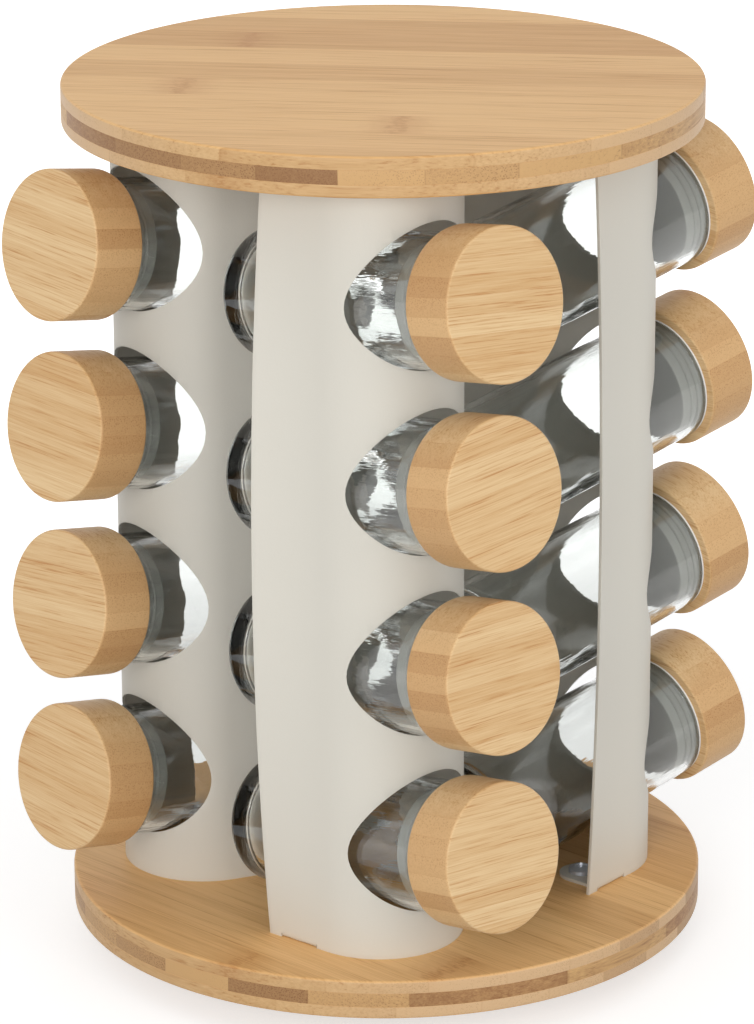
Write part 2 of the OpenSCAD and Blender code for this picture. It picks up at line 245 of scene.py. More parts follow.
# %% Bamboo recipe
def bamboo(name, strip, light, dark, line, end_light, end_dark, spread, stretch, share, seam, thin, side_shade_tint):
    """A bamboo finish. strip is the width of one strip in millimetres, spread says how much the
    strips differ, stretch how long the fibres are, share how many of them are brown, thin how
    narrow they are, and the side tint multiplies the colour of the piece's round side: painted
    shade that sets the side darker than the top."""
    material = bpy.data.materials.new(name)
    material.use_nodes = True
    material.node_tree.nodes.clear()
    sheet = Sheet(material.node_tree)
    grain = sheet.node("ShaderNodeAttribute", attribute_name="grain_pos").outputs["Vector"]
    end = sheet.node("ShaderNodeAttribute", attribute_name="end").outputs["Fac"]
    x, y, z = sheet.split(grain)

    # Which strip a point is in, and how far it is from the strip's edge
    waver = sheet.noise(sheet.combine(sheet.math("MULTIPLY", x, 0.02), y, z), 0.05, 1.0)
    shifted = sheet.math("ADD", y, sheet.math("MULTIPLY_ADD", waver, 0.6, -0.3))
    in_strips = sheet.math("DIVIDE", shifted, strip)
    number = sheet.math("FLOOR", in_strips)
    across = sheet.math("SUBTRACT", in_strips, number)
    luck = sheet.node("ShaderNodeTexWhiteNoise", {"W": number}, noise_dimensions="1D").outputs
    luck_tone, luck_place, luck_knuckle = luck["Value"], *sheet.split(luck["Color"])[1:]
    edge = sheet.math("MULTIPLY", sheet.math("PINGPONG", in_strips, 0.5), strip)
    edge_line = sheet.step(edge, 0.05, 0.24, 1.0, 0.0)

    # Fibres: stretched clouds, each strip with its own
    own = sheet.math("MULTIPLY", number, 37.0)
    along = sheet.math("ADD", sheet.math("MULTIPLY", x, stretch), own)
    stretched = sheet.combine(along, shifted, z)
    broad = sheet.noise(stretched, 0.35, 3.0)
    fibres = sheet.noise(stretched, 1.3 * thin, 3.0, 0.62)
    fine = sheet.noise(stretched, 3.4, 2.0, 0.6)
    bundles = sheet.node("ShaderNodeTexVoronoi", {"Vector": stretched, "Scale": 1.8}, feature="F1")
    dots = sheet.step(bundles.outputs["Distance"], 0.2, 0.42, 1.0, 0.0)

    # Knuckles: one about every 230 mm, and only in one strip out of four
    repeat = sheet.math("ADD", sheet.math("DIVIDE", x, 230.0), sheet.math("MULTIPLY", luck_place, 7.0))
    wobble = sheet.math("MULTIPLY_ADD", sheet.noise(sheet.combine(x, shifted, z), 0.35, 2.0), 0.03, -0.015)
    off_knuckle = sheet.math("PINGPONG", sheet.math("ADD", repeat, wobble), 0.5)
    off_knuckle = sheet.math("MULTIPLY", off_knuckle, 230.0)
    near = sheet.step(off_knuckle, 0.5, 5.5, 1.0, 0.0)
    rare = sheet.step(luck_knuckle, 0.74, 0.76)
    near = sheet.math("MULTIPLY", near, rare)
    curl = sheet.noise(sheet.combine(sheet.math("MULTIPLY", x, 0.25), shifted, z), 1.6, 3.0, 0.6)

    # Colour along the fibres
    tone = sheet.math("MULTIPLY_ADD", sheet.math("SUBTRACT", luck_tone, 0.5), spread, 0.5)
    tone = sheet.math("ADD", tone, sheet.math("MULTIPLY_ADD", broad, 0.9, -0.45))
    tone = sheet.math("ADD", tone, sheet.math("MULTIPLY_ADD", fibres, 1.3, -0.65))
    tone = sheet.math("ADD", tone, sheet.math("MULTIPLY_ADD", fine, 0.8, -0.4), clamp=True)
    colour = sheet.blend(tone, light, dark)
    brown = sheet.step(fibres, 0.64 - 0.12 * share, 0.74 - 0.08 * share)
    brown = sheet.math("MULTIPLY", brown, sheet.step(broad, 0.3, 0.62))
    colour = sheet.blend(sheet.math("MULTIPLY", brown, 0.45 + 0.3 * share), colour, line)
    halo = sheet.math("MULTIPLY", sheet.step(off_knuckle, 1.0, 13.0, 0.3, 0.0), rare)
    patch = sheet.math("MAXIMUM", halo, sheet.math("MULTIPLY", near, sheet.step(curl, 0.3, 0.7, 0.25, 0.8)))
    colour = sheet.blend(patch, colour, line)
    soft_edge = sheet.math("MULTIPLY", edge_line, sheet.step(broad, 0.35, 0.6, 0.35, 1.0))
    colour = sheet.blend(sheet.math("MULTIPLY", soft_edge, 0.5 * seam), colour, line)

    # Colour across the fibres: darker, with speckle that is denser to one side of each strip
    end_tone = sheet.math("MULTIPLY_ADD", sheet.math("SUBTRACT", luck_tone, 0.5), spread * 1.2, 0.4)
    end_tone = sheet.math("ADD", end_tone, sheet.math("MULTIPLY_ADD", fibres, 0.5, -0.25))
    denser = sheet.math("MULTIPLY_ADD", across, 0.35, 0.2)
    end_tone = sheet.math("ADD", end_tone, sheet.math("MULTIPLY", dots, denser), clamp=True)
    end_colour = sheet.blend(end_tone, end_light, end_dark)
    end_colour = sheet.blend(sheet.math("MULTIPLY", edge_line, 0.4 * seam), end_colour, line)
    colour = sheet.blend(sheet.step(end, 0.12, 0.75), colour, end_colour)
    # Painted shade: the round side's colour is multiplied by the side tint, so the side reads darker than the top
    side = sheet.node("ShaderNodeAttribute", attribute_name="side").outputs["Fac"]
    colour = sheet.blend(sheet.step(side, 0.3, 0.8), colour, sheet.blend(1.0, colour, side_shade_tint, kind="MULTIPLY"))

    relief = sheet.math("ADD", sheet.math("MULTIPLY", fine, 0.5), sheet.math("MULTIPLY", dots, -0.4))
    relief = sheet.math("ADD", relief, sheet.math("MULTIPLY", edge_line, -1.2 * seam))
    bump = sheet.node("ShaderNodeBump", {"Strength": 0.35, "Distance": 0.00012, "Height": relief})
    rough = sheet.math("MULTIPLY_ADD", fibres, 0.16, 0.40)
    shader = sheet.node("ShaderNodeBsdfPrincipled", {"Base Color": colour, "Roughness": rough})
    shader.inputs["Specular IOR Level"].default_value = 0.35
    sheet.feed(shader.inputs["Normal"], bump.outputs[0])
    sheet.node("ShaderNodeOutputMaterial", {"Surface": shader.outputs[0]})
    return material


board_face = bamboo(
    "bamboo_board_face",
    strip=20.0,
    light=srgb(237, 191, 130),
    dark=srgb(211, 161, 101),
    line=srgb(189, 129, 70),
    end_light=srgb(236, 192, 138),
    end_dark=srgb(194, 148, 98),
    spread=0.9,
    stretch=0.018,
    share=0.7,
    seam=0.35,
    thin=1.2,
    # Painted shade: the round side darker and cooler than the top
    side_shade_tint=(0.82, 0.87, 1.0, 1.0),
)
board_core = bamboo(
    "bamboo_board_core",
    strip=23.5,
    light=srgb(214, 168, 114),
    dark=srgb(160, 112, 72),
    line=srgb(138, 94, 56),
    end_light=srgb(210, 164, 112),
    end_dark=srgb(142, 98, 62),
    spread=1.3,
    stretch=0.03,
    share=0.5,
    seam=0.6,
    thin=1.0,
    # Painted shade: the round side a little less red than the top
    side_shade_tint=(0.95, 1.0, 1.0, 1.0),
)
lid_bamboo = bamboo(
    "bamboo_lid",
    strip=5.5,
    light=srgb(234, 202, 154),
    dark=srgb(211, 168, 114),
    line=srgb(184, 122, 62),
    end_light=srgb(224, 184, 132),
    end_dark=srgb(184, 136, 86),
    spread=0.5,
    stretch=0.02,
    share=0.8,
    seam=0.3,
    thin=1.7,
    side_shade_tint=(1.0, 1.0, 1.0, 1.0),
)
print("bamboo finishes:", board_face.name, board_core.name, lid_bamboo.name)

# %% [markdown]
# ## Other finishes
#
# The towers have a fine powder coat: matt, warm grey, with a grain that only shows close up.
# The glass is clear, but pressed glass is never quite even, so its surface gets slow waves that
# bend what is seen through it. The hidden bearing has plain workshop metals, nylon and rubber.


# %% Finish helper
def finish(name, colour, roughness, metallic=0.0, spots=(), bump=(0.0, 1.0), **more):
    """A finish whose colour and roughness waver a little, with a fine relief.
    spots is (scale in 1/m, share of colour change); bump is (depth in m, scale in 1/m)."""
    material = bpy.data.materials.new(name)
    material.use_nodes = True
    material.node_tree.nodes.clear()
    sheet = Sheet(material.node_tree)
    place = sheet.node("ShaderNodeTexCoord").outputs["Object"]
    shader = sheet.node("ShaderNodeBsdfPrincipled", {"Metallic": metallic})
    scale, share = spots
    cloud = sheet.noise(place, scale, 3.0)
    low = tuple(v * (1 - share) for v in colour[:3]) + (1.0,)
    sheet.feed(shader.inputs["Base Color"], sheet.blend(cloud, low, colour))
    sheet.feed(shader.inputs["Roughness"], sheet.math("MULTIPLY_ADD", cloud, 0.1, roughness - 0.05))
    depth, bump_scale = bump
    if depth:
        relief = sheet.noise(place, bump_scale, 2.0)
        made = sheet.node("ShaderNodeBump", {"Strength": 1.0, "Distance": depth, "Height": relief})
        sheet.feed(shader.inputs["Normal"], made.outputs[0])
    for key, value in more.items():
        shader.inputs[key.replace("_", " ")].default_value = value
    sheet.node("ShaderNodeOutputMaterial", {"Surface": shader.outputs[0]})
    return material


# %% Metals, plastics and rubber
powder_coat = finish(
    "warm_grey_powder_coat", srgb(219, 215, 204), 0.5, spots=(40, 0.03), bump=(0.00003, 1400)
)
zinc = finish("bright_zinc", srgb(226, 232, 242), 0.48, 1.0, (300, 0.1), (0.00001, 900))
aluminium = finish("satin_aluminium", srgb(202, 203, 206), 0.36, 1.0, (120, 0.1), (0.00001, 700))
steel_ball = finish("polished_steel", srgb(205, 207, 211), 0.12, 1.0, (200, 0.05))
nylon = finish("nylon", srgb(232, 230, 220), 0.45, spots=(60, 0.05), bump=(0.00001, 900))
rubber = finish("black_rubber", srgb(44, 44, 45), 0.7, spots=(90, 0.25), bump=(0.00004, 1800))
silicone = finish("white_silicone", srgb(243, 243, 240), 0.4, spots=(80, 0.04), bump=(0.00001, 600))
# Painted shade: the bamboo plug and white silicone seal inside the jar are painted this grey, for the shade under
# the lid
painted_shade_inside_jar = finish("sleeve_under_the_lid", srgb(158, 158, 150), 0.5, spots=(90, 0.12), bump=(0.00003, 900))
print("plain finishes:", [m.name for m in (powder_coat, zinc, aluminium, steel_ball, nylon)])

# %% Clear glass
clear_glass = bpy.data.materials.new("clear_glass")
clear_glass.use_nodes = True
clear_glass.node_tree.nodes.clear()
sheet = Sheet(clear_glass.node_tree)
grain = sheet.node("ShaderNodeAttribute", attribute_name="grain_pos").outputs["Vector"]
x, y, z = sheet.split(grain)
waves = sheet.noise(grain, 0.055, 1.5)
streaks = sheet.noise(sheet.combine(x, y, sheet.math("MULTIPLY", z, 0.12)), 0.75, 2.0)
pits = sheet.noise(grain, 1.3, 2.0)
under = sheet.step(z, 0.9, 1.4, 1.0, 0.0)
relief = sheet.math("MULTIPLY_ADD", streaks, 0.11, waves)
relief = sheet.math("MULTIPLY_ADD", sheet.math("MULTIPLY", pits, under), 0.2, relief)
glass_bump = sheet.node("ShaderNodeBump", {"Strength": 0.5, "Distance": 0.0006, "Height": relief})
shader = sheet.node("ShaderNodeBsdfPrincipled", {"Base Color": (0.95, 0.965, 0.955, 1.0)})
shader.inputs["Transmission Weight"].default_value = 1.0
shader.inputs["IOR"].default_value = 1.5
sheet.feed(shader.inputs["Roughness"], sheet.step(waves, 0.3, 0.8, 0.0, 0.03))
sheet.feed(shader.inputs["Normal"], glass_bump.outputs[0])
sheet.node("ShaderNodeOutputMaterial", {"Surface": shader.outputs[0]})
print("glass made")

# %% [markdown]
# ## Turned pieces
#
# Boards, lids, glasses and seals are all round. A lathe is the natural way to make them: a
# profile drawn in the half plane is swept once round the axis. Here the lathe is a geometry node
# tree. It lays out a grid, bends its one side round the axis and its other side along the
# profile, and merges what meets. Each modifier adds one turned layer to the object, so a board
# of three plies has three.


# %% Lathe tree
def lathe_tree():
    tree = bpy.data.node_groups.new("lathe", "GeometryNodeTree")
    sockets = (
        ("Geometry", "NodeSocketGeometry", None),
        ("Profile", "NodeSocketObject", None),
        ("Segments", "NodeSocketInt", 96),
        ("Grain Turn", "NodeSocketFloat", 0.0),
        ("Grain Place", "NodeSocketVector", (0.0, 0.0, 0.0)),
        ("Wave Height", "NodeSocketFloat", 0.0),
        ("Wave Seed", "NodeSocketFloat", 0.0),
        ("Material", "NodeSocketMaterial", None),
    )
    for label, kind, default in sockets:
        made = tree.interface.new_socket(label, in_out="INPUT", socket_type=kind)
        if default is not None:
            made.default_value = default
    tree.interface.new_socket("Geometry", in_out="OUTPUT", socket_type="NodeSocketGeometry")
    sheet = Sheet(tree)
    given = sheet.node("NodeGroupInput").outputs
    profile = sheet.node("GeometryNodeObjectInfo", {"Object": given["Profile"]}).outputs["Geometry"]
    count = sheet.node("GeometryNodeAttributeDomainSize", {"Geometry": profile}, component="MESH")
    points = count.outputs["Point Count"]
    rings = sheet.math("ADD", given["Segments"], 1.0)
    grid = sheet.node("GeometryNodeMeshGrid", {"Vertices X": rings, "Vertices Y": points})
    place = sheet.node("GeometryNodeInputPosition").outputs[0]
    x, y, _ = sheet.split(place)
    turn = sheet.math("MULTIPLY", sheet.math("ADD", x, 0.5), math.tau)
    last = sheet.math("SUBTRACT", points, 1.0)
    index = sheet.math("ROUND", sheet.math("MULTIPLY", sheet.math("ADD", y, 0.5), last))
    sample = sheet.node("GeometryNodeSampleIndex", {"Geometry": profile}, data_type="FLOAT_VECTOR")
    sheet.feed(sample.inputs["Value"], place)
    sheet.feed(sample.inputs["Index"], index)
    radius, _, height = sheet.split(sample.outputs[0])
    swept = sheet.combine(
        sheet.math("MULTIPLY", radius, sheet.math("COSINE", turn)),
        sheet.math("MULTIPLY", radius, sheet.math("SINE", turn)),
        height,
    )
    seeded = sheet.vector("ADD", swept, sheet.combine(0.0, 0.0, given["Wave Seed"]))
    wave = sheet.math("SUBTRACT", sheet.noise(seeded, 40.0, 1.0), 0.5)
    growth = sheet.math("MULTIPLY_ADD", wave, given["Wave Height"], 1.0)
    waved = sheet.vector("MULTIPLY", swept, sheet.combine(growth, growth, 1.0))
    bent = sheet.node("GeometryNodeSetPosition", {"Geometry": grid.outputs[0], "Position": waved})
    merged = sheet.node("GeometryNodeMergeByDistance", {"Geometry": bent.outputs[0], "Distance": 2e-6})
    cosine = sheet.math("COSINE", given["Grain Turn"])
    sine = sheet.math("SINE", given["Grain Turn"])
    along = sheet.combine(cosine, sine, 0.0)
    beside = sheet.combine(sheet.math("MULTIPLY", sine, -1.0), cosine, 0.0)
    in_mm = sheet.vector("SCALE", place)
    in_mm.node.inputs["Scale"].default_value = 1000.0
    grain = sheet.combine(
        sheet.vector("DOT_PRODUCT", in_mm, along, out=1),
        sheet.vector("DOT_PRODUCT", in_mm, beside, out=1),
        sheet.split(in_mm)[2],
    )
    grain = sheet.vector("ADD", grain, given["Grain Place"])
    with_grain = sheet.node(
        "GeometryNodeStoreNamedAttribute",
        {"Geometry": merged.outputs[0], "Name": "grain_pos", "Value": grain},
        data_type="FLOAT_VECTOR",
        domain="POINT",
    )
    facing = sheet.node("GeometryNodeInputNormal").outputs[0]
    cut = sheet.math("POWER", sheet.vector("DOT_PRODUCT", facing, along, out=1), 2.0)
    with_end = sheet.node(
        "GeometryNodeStoreNamedAttribute",
        {"Geometry": with_grain.outputs[0], "Name": "end", "Value": cut},
        data_type="FLOAT",
        domain="POINT",
    )
    # side says how far a face turns from level; the bamboo finish reads it to paint shade on round sides
    level = sheet.math("ABSOLUTE", sheet.split(facing)[2])
    with_side = sheet.node(
        "GeometryNodeStoreNamedAttribute",
        {"Geometry": with_end.outputs[0], "Name": "side", "Value": sheet.math("SUBTRACT", 1.0, level)},
        data_type="FLOAT",
        domain="POINT",
    )
    smooth = sheet.node("GeometryNodeSetShadeSmooth", {"Geometry": with_side.outputs[0]})
    both = sheet.node("GeometryNodeJoinGeometry")
    painted = sheet.node(
        "GeometryNodeSetMaterial", {"Geometry": smooth.outputs[0], "Material": given["Material"]}
    )
    sheet.feed(both.inputs[0], painted.outputs[0])
    sheet.feed(both.inputs[0], given["Geometry"])
    real = sheet.node("GeometryNodeRealizeInstances", {"Geometry": both.outputs[0]})
    keep = sheet.node("GeometryNodeSwitch", {"Switch": True, "True": real.outputs[0]})
    sheet.node("NodeGroupOutput", {0: keep.outputs[0]})
    return tree


LATHE = lathe_tree()
print("lathe tree has", len(LATHE.nodes), "nodes")


# %% Helpers that turn a tree's result into a plain piece
def dress(piece, tree, **values):
    """Adds a tree to a piece and sets its named inputs by their identifiers."""
    modifier = piece.modifiers.new(tree.name, "NODES")
    names = {s.name: s.identifier for s in tree.interface.items_tree if s.in_out == "INPUT"}
    modifier.node_group = tree
    for label, value in values.items():
        modifier[names[label.replace("_", " ")]] = value
    return modifier


def new_piece(name, mesh=None):
    piece = bpy.data.objects.new(name, mesh or bpy.data.meshes.new(name))
    bpy.context.scene.collection.objects.link(piece)
    return piece


def bake(piece, sharp=None):
    """Makes the evaluated result the piece's own plain mesh, with faces outward."""
    bpy.context.view_layer.update()
    ready = piece.evaluated_get(bpy.context.evaluated_depsgraph_get())
    mesh = bpy.data.meshes.new_from_object(ready)
    piece.modifiers.clear()
    piece.data = mesh
    mesh.name = piece.name
    solid = bmesh.new()
    solid.from_mesh(mesh)
    bmesh.ops.recalc_face_normals(solid, faces=solid.faces)
    if sharp is not None:
        for edge in solid.edges:
            edge.smooth = not (edge.is_manifold and edge.calc_face_angle(0) > sharp)
    solid.to_mesh(mesh)
    solid.free()
    return piece


def profile_line(name, points):
    """A line of (radius, height) points in millimetres, for the lathe to read."""
    mesh = bpy.data.meshes.new(name)
    steps = [(i, i + 1) for i in range(len(points) - 1)]
    mesh.from_pydata([(r * MM, 0, z * MM) for r, z in points], steps, [])
    return bpy.data.objects.new(name, mesh)


def corner(centre, radius, start, stop, steps=6):
    """Points on a quarter or other part of a circle, with angles in degrees."""
    angles = [math.radians(start + (stop - start) * i / steps) for i in range(steps + 1)]
    return [(centre[0] + radius * math.cos(a), centre[1] + radius * math.sin(a)) for a in angles]


def spaced(first, last, pieces):
    """Points between two points, both left out."""
    shares = [i / pieces for i in range(1, pieces)]
    return [tuple(a + (b - a) * s for a, b in zip(first, last)) for s in shares]


print("piece helpers ready")

# %% [markdown]
# ## Boards
#
# Each board is three plies of bamboo, glued crosswise: pale outer plies whose fibres run across
# the picture, and a darker middle ply whose fibres run away from the viewer, so that its
# front edge shows the ends of its strips. The glue lines are real grooves, a tenth of a
# millimetre deep, which catch a thin shadow.

# %% Boards
BOARD_T = 12.0
EASE = 0.9
PLY_HEIGHTS = (0.0, 3.8, 8.1, BOARD_T)
GLUE = 0.06
PICTURE_ACROSS = math.atan2(AIM_ACROSS.y, AIM_ACROSS.x)


def ply_profile(name, radius, low, high, eased_low, eased_high):
    """The outline of one ply from the axis, down side first, back to the axis."""
    low_ease = EASE if eased_low else GLUE
    high_ease = EASE if eased_high else GLUE
    points = [(0, low), (radius * 0.5, low), (radius - low_ease - 0.4, low)]
    points += corner((radius - low_ease, low + low_ease), low_ease, -90, 0)
    points += spaced((radius, low + low_ease), (radius, high - high_ease), 3)
    points += corner((radius - high_ease, high - high_ease), high_ease, 0, 90)
    points += [(radius - high_ease - 0.4, high), (radius * 0.5, high), (0, high)]
    return profile_line(name, points)


def board(name, node, diameter, base, turns, places):
    piece = new_piece(name)
    for ply in range(3):
        low, high = base + PLY_HEIGHTS[ply], base + PLY_HEIGHTS[ply + 1]
        core = ply == 1
        line = ply_profile(f"{name}_ply_{ply}", diameter / 2, low, high, ply == 0, ply == 2)
        dress(
            piece,
            LATHE,
            Profile=line,
            Segments=240,
            Grain_Turn=PICTURE_ACROSS + math.radians(turns[ply]),
            Grain_Place=places[ply],
            Material=board_core if core else board_face,
        )
    bake(piece, math.radians(50))
    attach(piece, "carousel")
    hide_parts(node)
    print(name, "has", len(piece.data.polygons), "faces")
    return piece


BASE_Z, TOP_Z = 10.0, 257.6
# Turns of the three plies' fibres from the picture's across direction, in degrees, and the places
# that decide which strips are light and which are dark
TOP_TURNS, BASE_TURNS = (-6.6, -104.5, -6.6), (-43, -133, -43)
TOP_PLACES = ((40, 3, 5), (10, -7836.8, 0), (42, 8, 2))
BASE_PLACES = ((90, 9, 1), (60, -4230.3, 0), (210, 2, 7))
top_board = board("top_board", "top_disc", 190, TOP_Z, TOP_TURNS, TOP_PLACES)
base_board = board("base_board", "base_disc", 194, BASE_Z, BASE_TURNS, BASE_PLACES)

# %% [markdown]
# ## Towers
#
# A tower is one sheet of steel, a millimetre thick. It is cut flat, with four round holes and
# four tabs, and then bent: a round nose between two legs, and a small fold at each tab. The
# sheet is made in the same order here. Its flat outline is filled with triangles, and each point
# is then carried to its place on the bent sheet. The free edge of the short leg bows out a
# little between the boards, as thin steel does when it is only held at its ends.

# %% Plan of the bent sheet
SHEET_T, NOSE_R, NOSE_X, NOSE_Y = 1.0, 25.0, -39.0, -40.5
SHORT_TURN, LONG_TURN = math.radians(188.7), math.radians(360 - 20.3)
SHORT_LEG, LONG_LEG = 22.0, 36.5
TOWER_Z, TOWER_H = 22.0, 235.6
NOSE_LENGTH = NOSE_R * (LONG_TURN - SHORT_TURN)
FOLD_R, TAB_W, TAB_REACH, RELIEF = 0.2, 13.0, 11.5, 0.4
FOLD_H = FOLD_R + SHEET_T
FOLD_ARC = FOLD_H * math.pi / 2
TAB_FLAT = TAB_REACH - FOLD_H
TAB_PLACES = (-10.8, NOSE_LENGTH + 26.0)
SCREW_HOLE_R = 2.25


def plan(s):
    """Place on the sheet's outer face and its outward direction, s mm along the nose."""
    turn = min(max(SHORT_TURN + s / NOSE_R, SHORT_TURN), LONG_TURN)
    out = Vector((math.cos(turn), math.sin(turn)))
    spot = Vector((NOSE_X, NOSE_Y)) + out * NOSE_R
    if s < 0:
        spot += Vector((out.y, -out.x)) * -s
    if s > NOSE_LENGTH:
        spot += Vector((-out.y, out.x)) * (s - NOSE_LENGTH)
    return spot, out


def bent(s, z, depth, bow):
    """A point of the flat sheet, s along it and z up it, at its place in the tower."""
    turned = z > TOWER_H / 2
    level = TOWER_H - z if turned else z
    spot, out = plan(s)
    on_tab = level < FOLD_H + 1e-6 and any(abs(s - t) < TAB_W / 2 + 1e-3 for t in TAB_PLACES)
    if on_tab:
        run = FOLD_H - level
        if run < FOLD_ARC:
            a = run / FOLD_H
            spot = spot - out * (FOLD_H - (FOLD_H - depth) * math.cos(a))
            level = FOLD_H - (FOLD_H - depth) * math.sin(a)
        else:
            spot = spot - out * (FOLD_H + run - FOLD_ARC)
            level = depth
    else:
        share = min(max(z / TOWER_H, 0), 1)
        reach = max(-s, 0) / SHORT_LEG
        spot = spot + out * (bow * 4 * share * (1 - share) * reach * reach - depth)
    return Vector((spot.x, spot.y, TOWER_Z + (TOWER_H - level if turned else level))) * MM


print("sheet is", round(NOSE_LENGTH + SHORT_LEG + LONG_LEG, 1), "mm wide when flat")

# %% Outline, holes and triangles of the flat sheet
JAR_X, TILT = -40.0, math.radians(10)
ROW_PITCH, FIRST_OPENING = 55.5, 35.5
OPENING_R = 21.5
HOLE_STEPS = 72


def edge_points(first, last, pitch):
    """The first point and the ones between it and the last, about pitch apart."""
    length = math.dist(first, last)
    return [first] + spaced(first, last, max(1, round(length / pitch)))


def foot_outline():
    """The sheet's lower edge from left to right, with its two tabs hanging below it."""
    path = [(-SHORT_LEG, 0.0)]
    notch = TAB_W / 2 + RELIEF
    for tab in TAB_PLACES:
        path += [(tab - notch, 0.0), (tab - notch, FOLD_H), (tab - TAB_W / 2, FOLD_H)]
        path += [(tab - TAB_W / 2, FOLD_H - FOLD_ARC * i / 4) for i in range(1, 4)]
        path += [(tab - TAB_W / 2, FOLD_H - FOLD_ARC)]
        low = FOLD_H - FOLD_ARC - TAB_FLAT
        path += [(tab + x, low + y) for x, y in corner((0, 0), TAB_W / 2, 180, 360, 24)]
        path += [(tab + TAB_W / 2, FOLD_H - FOLD_ARC)]
        path += [(tab + TAB_W / 2, FOLD_H - FOLD_ARC * i / 4) for i in range(3, 0, -1)]
        path += [(tab + TAB_W / 2, FOLD_H), (tab + notch, FOLD_H), (tab + notch, 0.0)]
    path.append((NOSE_LENGTH + LONG_LEG, 0.0))
    full = []
    for first, last in zip(path, path[1:]):
        full += edge_points(first, last, 1.6)
    return full + [path[-1]]


def opening_loop(row, depth):
    """The round opening of one jar where it passes through the nose, on the flat sheet."""
    centre_z = FIRST_OPENING + (4 - row) * ROW_PITCH
    loop = []
    for i in range(HOLE_STEPS):
        a = math.tau * i / HOLE_STEPS
        x = JAR_X + OPENING_R * math.cos(a)
        turn = -math.acos((x - NOSE_X) / (NOSE_R - depth)) + math.tau
        y = NOSE_Y + (NOSE_R - depth) * math.sin(turn)
        rise = OPENING_R * math.sin(a)
        forward = (NOSE_Y - NOSE_R - y + rise * math.sin(TILT)) / math.cos(TILT)
        z = centre_z + rise * math.cos(TILT) + forward * math.sin(TILT)
        loop.append(((turn - SHORT_TURN) * NOSE_R, z))
    return loop


def inside(point, loop):
    x, y = point
    hit = False
    for (x1, y1), (x2, y2) in zip(loop, loop[1:] + loop[:1]):
        if (y1 > y) != (y2 > y) and x < x1 + (y - y1) * (x2 - x1) / (y2 - y1):
            hit = not hit
    return hit


def flat_sheet(depth):
    """Loops of the sheet's face at this depth, the points inside them, and the triangles."""
    foot = foot_outline()
    head = [(s, TOWER_H - z) for s, z in reversed(foot)]
    outline = foot + edge_points(foot[-1], head[0], 5.0)[1:]
    outline += head + edge_points(head[-1], foot[0], 5.0)[1:]
    tab_z = FOLD_H - FOLD_ARC - TAB_FLAT
    holes = [opening_loop(row, depth) for row in ROWS]
    for tab in TAB_PLACES:
        low = [(tab + x, tab_z + y) for x, y in corner((0, 0), SCREW_HOLE_R, 0, 345, 23)]
        holes += [low, [(s, TOWER_H - z) for s, z in low]]
    loops = [outline] + holes
    points = [p for loop in loops for p in loop]
    seams = []
    start = 0
    for loop in loops:
        seams += [(start + i, start + (i + 1) % len(loop)) for i in range(len(loop))]
        start += len(loop)
    taken = list(points)
    columns = 84
    width = NOSE_LENGTH + SHORT_LEG + LONG_LEG
    candidates = []
    for i in range(1, columns):
        s = -SHORT_LEG + width * i / columns
        candidates += [(s, TOWER_H * j / 60) for j in range(1, 60)]
        candidates += [(s, 1.3 + FOLD_H * k) for k in range(2)]
        candidates += [(s, TOWER_H - 1.3 - FOLD_H * k) for k in range(2)]
    for tab in TAB_PLACES:
        for k in range(-3, 4):
            for run in (0.0, 0.25, 0.5, 0.75, 1.0, 1.8, 2.7, 3.6):
                z = FOLD_H - FOLD_ARC * run
                candidates += [(tab + k * 1.7, z), (tab + k * 1.7, TOWER_H - z)]
    grid = {}
    cell = 2.0
    for p in taken:
        grid.setdefault((int(p[0] // cell), int(p[1] // cell)), []).append(p)
    for p in candidates:
        if not inside(p, outline) or any(inside(p, hole) for hole in holes):
            continue
        home = (int(p[0] // cell), int(p[1] // cell))
        around = [q for dx in (-1, 0, 1) for dy in (-1, 0, 1) for q in grid.get((home[0] + dx, home[1] + dy), [])]
        if all(math.dist(p, q) > 0.55 for q in around):
            points.append(p)
            grid.setdefault(home, []).append(p)
    made = geometry.delaunay_2d_cdt([Vector(p) for p in points], seams, [], 0, 1e-7)
    spots, triangles, origins = made[0], made[2], made[3]
    spots = [tuple(v) for v in spots]
    kept = []
    for triangle in triangles:
        middle = tuple(sum(spots[i][k] for i in triangle) / 3 for k in (0, 1))
        if inside(middle, outline) and not any(inside(middle, hole) for hole in holes):
            kept.append(tuple(triangle))
    where = {old: new for new, olds in enumerate(origins) for old in olds}
    rims = []
    start = 0
    for loop in loops:
        rims.append([where[start + i] for i in range(len(loop))])
        start += len(loop)
    return spots, kept, rims


outer_sheet, inner_sheet = flat_sheet(0.0), flat_sheet(SHEET_T)
print("flat sheet:", len(outer_sheet[1]), "triangles outside,", len(inner_sheet[1]), "inside")

# %% Bend and thicken the towers
# How far the short leg's free edge bows out, in millimetres, in order of SIDES
BOWS = (6.2, 3.4, 4.2, 5.0)


